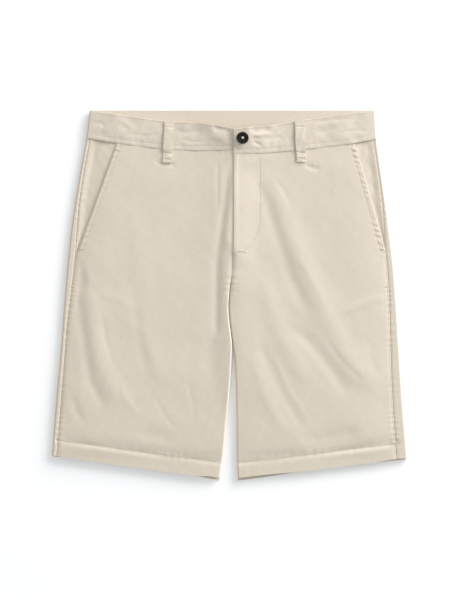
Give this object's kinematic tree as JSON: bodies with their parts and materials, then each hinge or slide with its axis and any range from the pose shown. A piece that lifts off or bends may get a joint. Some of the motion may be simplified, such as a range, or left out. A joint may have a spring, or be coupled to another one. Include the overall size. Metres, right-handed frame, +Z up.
{
  "type": "clothing.shorts.chino",
  "caption": "Flat-front chino shorts laid face up, with slanted hip pockets, belt loops, a zip fly, a waist button and turned hems.",
  "frame": {"origin": "on the surface that the shorts lie on, below the middle of their outline", "axes": "+Y from the hems to the waist, +X to the wearer's left, +Z up out of the surface"},
  "size_m": [0.5268, 0.5482, 0.0163],
  "materials": {
    "twill": "matt cotton twill, stone",
    "zip_tape": "woven zip tape",
    "horn_button": "dark brown horn look, satin"
  },
  "bodies": {
    "root": {"front_right": "twill", "front_left": "twill", "back_right": "twill", "back_left": "twill", "pocket_facing_right": "twill", "pocket_facing_left": "twill", "waistband_right": "twill", "waistband_left": "twill", "belt_loop_front_right": "twill", "belt_loop_front_left": "twill", "belt_loop_back_right": "twill", "belt_loop_back_centre": "twill", "belt_loop_back_left": "twill", "zip": "zip_tape", "button": "horn_button"}
  },
  "joints": []
}
